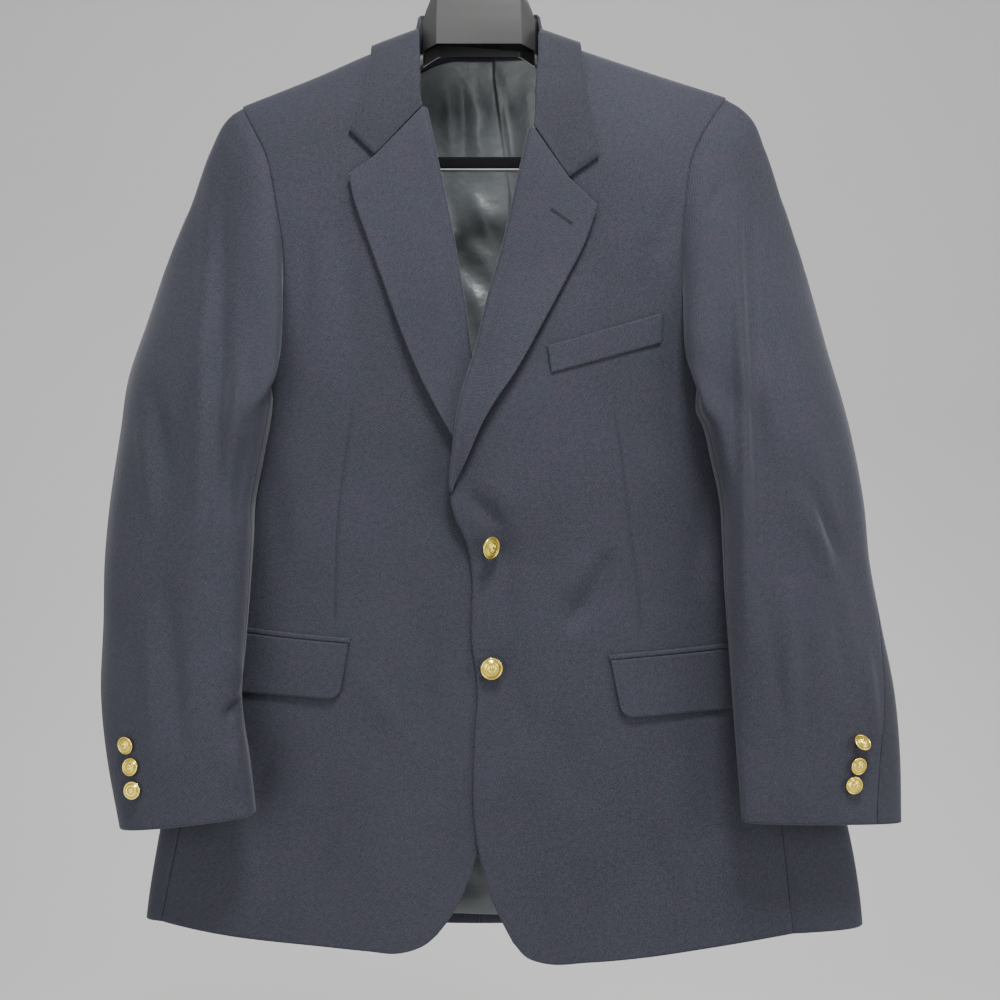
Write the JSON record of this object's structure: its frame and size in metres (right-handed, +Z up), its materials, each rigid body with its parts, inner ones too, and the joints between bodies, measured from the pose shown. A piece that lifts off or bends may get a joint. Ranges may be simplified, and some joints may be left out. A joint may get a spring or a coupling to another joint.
{
  "type": "blazer on a hanger",
  "caption": "Single-breasted tailored jacket with notch lapels, a breast welt, flap pockets and side vents, buttoned and hung on a moulded hanger with a hook.",
  "frame": {"origin": "inside of the top of the hanger's hook, where a rod or a wall hook carries it", "axes": "+Z up, the garment's front faces -Y, +X is the wearer's left, which is the right of a viewer in front"},
  "size_m": [0.7186, 0.1576, 0.9972],
  "materials": {
    "navy_wool": "fine worsted twill, matt",
    "navy_wool_under": "fine worsted twill, matt",
    "navy_wool_trim": "fine worsted twill, pressed",
    "lining": "satin lining, grey",
    "brass": "polished, with a plain relief",
    "hanger_plastic": "grey moulded plastic, satin",
    "bar_velvet": "black flock",
    "hook_steel": "plated steel wire"
  },
  "bodies": {
    "root": {"front_left": "navy_wool", "side_body_left": "navy_wool", "back_left": "navy_wool", "top_sleeve_left": "navy_wool", "flap_left": "navy_wool", "under_sleeve_left": "navy_wool_under", "lapel_left": "navy_wool_trim", "pocket_jet_left": "navy_wool_trim", "front_right": "navy_wool", "side_body_right": "navy_wool", "back_right": "navy_wool", "top_sleeve_right": "navy_wool", "flap_right": "navy_wool", "under_sleeve_right": "navy_wool_under", "lapel_right": "navy_wool_trim", "pocket_jet_right": "navy_wool_trim", "collar_fall": "navy_wool_trim", "collar_stand": "navy_wool_under", "breast_welt": "navy_wool_trim", "lining_back": "lining", "front_button_upper": "brass", "front_button_lower": "brass", "cuff_button_left_top": "brass", "cuff_button_left_middle": "brass", "cuff_button_left_low": "brass", "cuff_button_right_top": "brass", "cuff_button_right_middle": "brass", "cuff_button_right_low": "brass", "hanger_body": "hanger_plastic", "trouser_bar": "bar_velvet", "hook": "hook_steel"}
  },
  "joints": []
}
